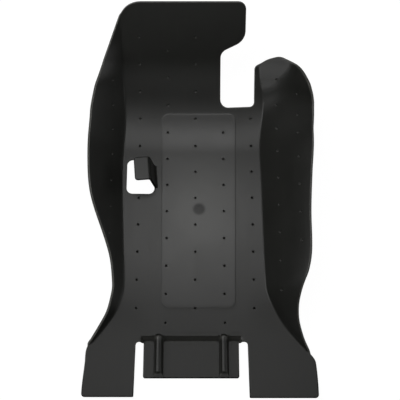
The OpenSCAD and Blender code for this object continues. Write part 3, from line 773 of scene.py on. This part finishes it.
def build_sheet(name, point, top, under, loops, sets, face_marks, edge_marks):
    """loops[0] is the outline, anticlockwise, and the others are holes, clockwise."""
    edges, borders = round_edges(point, top, under, loops, EDGE_R)
    q, tri, where = fill_loops(borders, sets)
    p, normal, _, _ = tangents(point, q)
    all_points = [p + normal * top(q)[:, None], p + normal * under(q)[:, None]]
    quads, count, start = [], 2 * len(q), 0
    for loop, positions in zip(borders, edges):
        n = len(loop)
        rows = [[where[start + i] for i in range(n)]]
        for row in positions[1:-1]:
            all_points.append(row)
            rows.append(list(range(count, count + n)))
            count += n
        rows.append([where[start + i] + len(q) for i in range(n)])
        for a, b in zip(rows, rows[1:]):
            quads += [(a[i], b[i], b[(i + 1) % n], a[(i + 1) % n]) for i in range(n)]
        start += n
    coords = np.concatenate(all_points) * MM
    polygons = tri.tolist() + (tri[:, ::-1] + len(q)).tolist() + quads
    mesh = bpy.data.meshes.new(name)
    mesh.from_pydata(coords.tolist(), [], polygons)
    mesh.validate()
    mesh.update()
    mesh.shade_smooth()
    store_marks(mesh, q, loops, face_marks, edge_marks)
    piece = bpy.data.objects.new(name, mesh)
    bpy.context.scene.collection.objects.link(piece)
    piece.modifiers.new("Weighted normals", "WEIGHTED_NORMAL").weight = NORMAL_WEIGHT
    return piece


# The hook's sheet: a is the way along its bent section, b the way along the plate
HOOK_ROOT = 0.8 * WALL
HOOK_TOP = HOOK_H - HOOK_T / 2
HOOK_BEND_TURN = math.pi / 2 - HOOK_LEAN
HOOK_TANGENT = HOOK_BEND_R * math.tan(HOOK_BEND_TURN / 2)
HOOK_WEB = (HOOK_TOP + HOOK_ROOT) / math.cos(HOOK_LEAN) - HOOK_TANGENT
HOOK_ARC = HOOK_BEND_R * HOOK_BEND_TURN
HOOK_FLAT = HOOK_REACH - HOOK_T / 2 - HOOK_TANGENT
HOOK_PATH = HOOK_WEB + HOOK_ARC + HOOK_FLAT
HOOK_PLACE = (-WINDOW_R - HOOK_T / 3, BEND_Y - WINDOW_FRONT - HOOK_BACK)


def hook_point(q):
    """Mid face of the hook. Its normal points right and up."""
    b, a = q[:, 1], HOOK_PATH - q[:, 0]
    web = np.minimum(a, HOOK_WEB)
    turn = np.clip((a - HOOK_WEB) / HOOK_BEND_R, 0, HOOK_BEND_TURN)
    flat = np.maximum(a - HOOK_WEB - HOOK_ARC, 0)
    start_x, start_z = HOOK_ROOT * math.tan(HOOK_LEAN), -HOOK_ROOT
    x = start_x - web * math.sin(HOOK_LEAN)
    z = start_z + web * math.cos(HOOK_LEAN)
    x = x - HOOK_BEND_R * (np.cos(HOOK_LEAN) - np.cos(HOOK_LEAN + turn)) - flat
    z = z + HOOK_BEND_R * (np.sin(HOOK_LEAN + turn) - np.sin(HOOK_LEAN))
    cos_t, sin_t = math.cos(HOOK_TURN), math.sin(HOOK_TURN)
    y = -(HOOK_LEN - b)
    return np.stack([HOOK_PLACE[0] + x * cos_t - y * sin_t,
                     HOOK_PLACE[1] + x * sin_t + y * cos_t, WALL + z], 1)


def hook_flare(q):
    """Half the hook's thickness, with a small fillet where its web meets the floor."""
    above = (HOOK_PATH - q[:, 0]) * math.cos(HOOK_LEAN) - HOOK_ROOT
    near = np.clip(HOOK_FILLET - above, 0, HOOK_FILLET)
    return HOOK_T / 2 + HOOK_FILLET - np.sqrt(HOOK_FILLET**2 - near**2)


def hook_back(q):
    """The hook's other face, half its thickness the other way."""
    return np.full(len(q), -HOOK_T / 2)


def make_hook():
    """The clip hook, with painted shade on all its edges."""
    corners = [(0, 0, HOOK_ROUND), (HOOK_PATH, 0, HOOK_ROOT_ROUND),
               (HOOK_PATH, HOOK_LEN, HOOK_ROOT_ROUND), (0, HOOK_LEN, HOOK_ROUND)]
    outline = split_long(round_path(corners, True), HOOK_GAP, closed=True)
    grid = [(a, b) for a in np.arange(HOOK_GAP, HOOK_PATH, HOOK_GAP)
            for b in np.arange(HOOK_ROW_START, HOOK_LEN, HOOK_ROW_GAP)]
    return build_sheet("clip_hook", hook_point, hook_flare, hook_back, [outline],
                       [(grid, HOOK_GAP / 2)], lambda q: {}, lambda q: {"pit": np.ones(len(q))})


def make_plate():
    """The plate, with its outline, its window and its relief."""
    return build_sheet("plate", plate_point, inner_relief, outer_relief,
                       [plate_outline(), window_outline()], feature_points(),
                       plate_marks, plate_edge_marks)


# Material: base colours, what the masks add to them or mix in, roughness, shine and bumps
PLASTIC_DARK, PLASTIC_PALE = (0.013, 0.0133, 0.012, 1), (0.019, 0.0195, 0.0172, 1)
# The blush tint is the plastic's own; the other tints are painted highlights on edges and elsewhere, and
# painted shade
BLUSH_TINT, EDGE_HIGHLIGHT_TINT = (0.014, 0.0142, 0.012, 1), (0.065, 0.065, 0.058, 1)
PAINTED_LIGHT_TINT, PAINTED_SHADE_TINT = (0.13, 0.13, 0.12, 1), (0.004, 0.004, 0.0035, 1)
ROUGH_LOW, ROUGH_HIGH = 0.27, 0.38
SHINE, PANEL_SHINE, BLUSH_SHINE, PAINTED_SHADE_SHINE = 0.48, 0.13, 0.08, -0.35
GRAIN_SCALE, CLOUD_SCALE, FLOW_SCALE, FLOW_SHARE = 900.0, 22.0, (170.0, 9.0, 9.0), 0.55
GRAIN_BUMP, GRAIN_DEPTH, CLOUD_BUMP, CLOUD_DEPTH = 0.12, 0.0002, 0.10, 0.002


def node(tree, kind, place, **values):
    """A new node, with values for its sockets or settings."""
    out = tree.nodes.new(kind)
    out.location = place
    for key, value in values.items():
        if key in out.inputs:
            out.inputs[key].default_value = value
        else:
            setattr(out, key, value)
    return out


def tint(tree, place, base, mask, colour, blend="ADD"):
    """Adds a colour to a base by a mask, or mixes it in."""
    out = node(tree, "ShaderNodeMix", place, data_type="RGBA", blend_type=blend)
    out.inputs[7].default_value = colour
    tree.links.new(base, out.inputs[6])
    tree.links.new(mask, out.inputs[0])
    return out.outputs[2]


def add_share(tree, place, base, mask, share):
    """A base plus a share of a mask. The base is a socket or a number."""
    out = node(tree, "ShaderNodeMath", place, operation="MULTIPLY_ADD")
    out.inputs[1].default_value = share
    tree.links.new(mask, out.inputs[0])
    if isinstance(base, float):
        out.inputs[2].default_value = base
    else:
        tree.links.new(base, out.inputs[2])
    return out.outputs[0]


def moulded_plastic():
    """Satin black moulded plastic: fine grain, faint flow marks and soft scuffs, with painted highlights
    and painted shade from masks.
    """
    mat = bpy.data.materials.new("moulded_black_plastic")
    mat.use_nodes = True
    tree = mat.node_tree
    shader = tree.nodes["Principled BSDF"]
    link = tree.links.new
    place = node(tree, "ShaderNodeTexCoord", (-1400, 0))
    grain = node(tree, "ShaderNodeTexNoise", (-1000, -500), Scale=GRAIN_SCALE, Detail=3.0, Roughness=0.6)
    cloud = node(tree, "ShaderNodeTexNoise", (-1000, 100), Scale=CLOUD_SCALE, Detail=4.0, Roughness=0.55)
    flow_place = node(tree, "ShaderNodeMapping", (-1200, 400), Scale=FLOW_SCALE)
    flow = node(tree, "ShaderNodeTexNoise", (-1000, 400), Scale=1.0, Detail=3.0, Roughness=0.6)
    for texture in (grain, cloud, flow_place):
        link(place.outputs["Object"], texture.inputs["Vector"])
    link(flow_place.outputs["Vector"], flow.inputs["Vector"])
    masks = {}
    for i, key in enumerate(("panel", "blush", "pit", "edge", "lip")):
        mask = node(tree, "ShaderNodeAttribute", (-1000, 700 + 200 * i), attribute_name=key)
        masks[key] = mask.outputs["Fac"]

    mixed = add_share(tree, (-750, 0), cloud.outputs["Fac"], flow.outputs["Fac"], FLOW_SHARE)
    base = node(tree, "ShaderNodeMix", (-500, 300), data_type="RGBA")
    base.inputs[6].default_value = PLASTIC_DARK
    base.inputs[7].default_value = PLASTIC_PALE
    link(mixed, base.inputs[0])
    colour = tint(tree, (-250, 300), base.outputs[2], masks["blush"], BLUSH_TINT)
    # Painted highlights on the edges, the ribs' arches, the step and the pits off the floor, then painted
    # shade mixed in
    colour = tint(tree, (0, 300), colour, masks["edge"], EDGE_HIGHLIGHT_TINT)
    colour = tint(tree, (250, 300), colour, masks["lip"], PAINTED_LIGHT_TINT)
    colour = tint(tree, (500, 300), colour, masks["pit"], PAINTED_SHADE_TINT, "MIX")
    link(colour, shader.inputs["Base Color"])

    rough = node(tree, "ShaderNodeMapRange", (-500, 0))
    rough.inputs["To Min"].default_value = ROUGH_LOW
    rough.inputs["To Max"].default_value = ROUGH_HIGH
    link(mixed, rough.inputs["Value"])
    link(rough.outputs["Result"], shader.inputs["Roughness"])

    fine = node(tree, "ShaderNodeBump", (-500, -500), Strength=GRAIN_BUMP, Distance=GRAIN_DEPTH)
    link(grain.outputs["Fac"], fine.inputs["Height"])
    broad = node(tree, "ShaderNodeBump", (-250, -400), Strength=CLOUD_BUMP, Distance=CLOUD_DEPTH)
    link(cloud.outputs["Fac"], broad.inputs["Height"])
    link(fine.outputs["Normal"], broad.inputs["Normal"])
    link(broad.outputs["Normal"], shader.inputs["Normal"])

    shine = add_share(tree, (-500, 650), SHINE, masks["panel"], PANEL_SHINE)
    shine = add_share(tree, (-250, 650), shine, masks["blush"], BLUSH_SHINE)
    # Where painted shade lies, the shine drops too
    shine = add_share(tree, (0, 650), shine, masks["pit"], PAINTED_SHADE_SHINE)
    link(shine, shader.inputs["Specular IOR Level"])
    return mat


# The plate and its hook, which are one moulding
plastic = moulded_plastic()
plate = make_plate()
hook = make_hook()
for piece in (plate, hook):
    piece.data.materials.append(plastic)
    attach(piece, "root")
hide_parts("skid_plate")


# Studio: a pale floor that glows white for the camera, a white surround and soft lamps, in metres
FLOOR_HALF, FLOOR_GAP, FLOOR_COLOUR, FLOOR_ROUGH = 3.0, 0.0002, (0.82, 0.82, 0.82, 1), 0.9
FLOOR_GLOW, GLOW_SHARE = 1.11, 0.88
SURROUND_LIGHT, SURROUND_SEEN = 0.015, 1.0

# Lamps: name, place, target, size, watts and spread in degrees. The low left one is for the ear.
LAMPS = [
    ("overhead", (0.0, 0.235, 0.62), (0.0, 0.235, 0), (0.6, 0.23), 0.92, 180),
    ("broad", (0.0, 0.5, 1.2), (0, 0, 0), (1.0, 0.8), 0.85, 180),
    ("left", (-0.9, 0.1, 0.9), (0, 0.1, 0), (0.5, 0.5), 3.2, 180),
    ("low_left", (-1.27, -0.91, 0.42), (0.1, 0.35, 0.1), (0.35, 0.5), 0.062, 20),
    ("right", (1.3, 0.1, 0.35), (0, 0, 0), (0.8, 0.5), 1.5, 180),
    ("behind", (0.0, -0.25, 1.5), (0, 0, 0), (1.0, 0.3), 0.7, 180),
    ("rear", (0.0, -0.13, 0.32), (0, -0.13, 0), (0.5, 0.12), 0.12, 180)]


def make_floor():
    """A pale floor just below the part. It keeps the part's shadow."""
    mesh = bpy.data.meshes.new("floor")
    half, level = FLOOR_HALF, cad_box[0][2] - FLOOR_GAP
    corners = [(-half, -half, level), (half, -half, level), (half, half, level), (-half, half, level)]
    mesh.from_pydata(corners, [], [(0, 1, 2, 3)])
    floor = bpy.data.objects.new("floor", mesh)
    bpy.context.scene.collection.objects.link(floor)
    mat = bpy.data.materials.new("pale_floor")
    mat.use_nodes = True
    tree = mat.node_tree
    shader = tree.nodes["Principled BSDF"]
    shader.inputs["Base Color"].default_value = FLOOR_COLOUR
    shader.inputs["Roughness"].default_value = FLOOR_ROUGH
    glow = node(tree, "ShaderNodeEmission", (0, -300), Strength=FLOOR_GLOW)
    seen = node(tree, "ShaderNodeLightPath", (-400, 300))
    share = node(tree, "ShaderNodeMath", (-200, 300), operation="MULTIPLY")
    share.inputs[1].default_value = GLOW_SHARE
    mix = node(tree, "ShaderNodeMixShader", (250, 0))
    tree.links.new(seen.outputs["Is Camera Ray"], share.inputs[0])
    tree.links.new(share.outputs[0], mix.inputs[0])
    tree.links.new(shader.outputs[0], mix.inputs[1])
    tree.links.new(glow.outputs[0], mix.inputs[2])
    tree.links.new(mix.outputs[0], tree.nodes["Material Output"].inputs[0])
    mesh.materials.append(mat)


def make_lamp(name, place, target, size, power, spread):
    """A soft rectangular lamp that the camera doesn't see."""
    lamp = bpy.data.lights.new(name, "AREA")
    lamp.shape = "RECTANGLE"
    lamp.size, lamp.size_y = size
    lamp.energy = power
    lamp.spread = math.radians(spread)
    obj = bpy.data.objects.new(name, lamp)
    obj.location = place
    obj.rotation_euler = (Vector(target) - Vector(place)).to_track_quat("-Z", "Y").to_euler()
    obj.visible_camera = False
    bpy.context.scene.collection.objects.link(obj)


def make_world():
    """A surround that is white for the camera and gives only a little light."""
    world = bpy.data.worlds.new("studio")
    bpy.context.scene.world = world
    world.use_nodes = True
    tree = world.node_tree
    background = tree.nodes["Background"]
    background.inputs["Color"].default_value = (1, 1, 1, 1)
    seen = node(tree, "ShaderNodeLightPath", (-600, 0))
    shade = node(tree, "ShaderNodeMapRange", (-300, 0))
    shade.inputs["To Min"].default_value = SURROUND_LIGHT
    shade.inputs["To Max"].default_value = SURROUND_SEEN
    tree.links.new(seen.outputs["Is Camera Ray"], shade.inputs["Value"])
    tree.links.new(shade.outputs["Result"], background.inputs["Strength"])


make_floor()
make_world()
for lamp_values in LAMPS:
    make_lamp(*lamp_values)

# Camera at the photo's angle: pitch 20.9 degrees from straight down, 1.224 m from the bend's start
CAMERA_PITCH = math.radians(20.9)
CAMERA_AWAY = 1224
CAMERA_SIDE = 5.76
CAMERA_RAISE = 61.2
FOCAL_PX = 0.7725 * CAMERA_AWAY
IMAGE_PX = 400
SENSOR = 36

camera_data = bpy.data.cameras.new("photo_view")
camera_data.sensor_width = SENSOR
camera_data.lens = FOCAL_PX * SENSOR / IMAGE_PX
camera = bpy.data.objects.new("photo_view", camera_data)
bpy.context.scene.collection.objects.link(camera)
up = Vector((0, math.cos(CAMERA_PITCH), math.sin(CAMERA_PITCH)))
back = Vector((0, -math.sin(CAMERA_PITCH), math.cos(CAMERA_PITCH)))
bend_start = Vector((CAMERA_SIDE, BEND_Y, WALL))
camera.location = (bend_start - up * CAMERA_RAISE + back * CAMERA_AWAY) * MM
camera.rotation_euler = (CAMERA_PITCH, 0, 0)
bpy.context.scene.camera = camera
bpy.context.scene.view_settings.view_transform = "Standard"
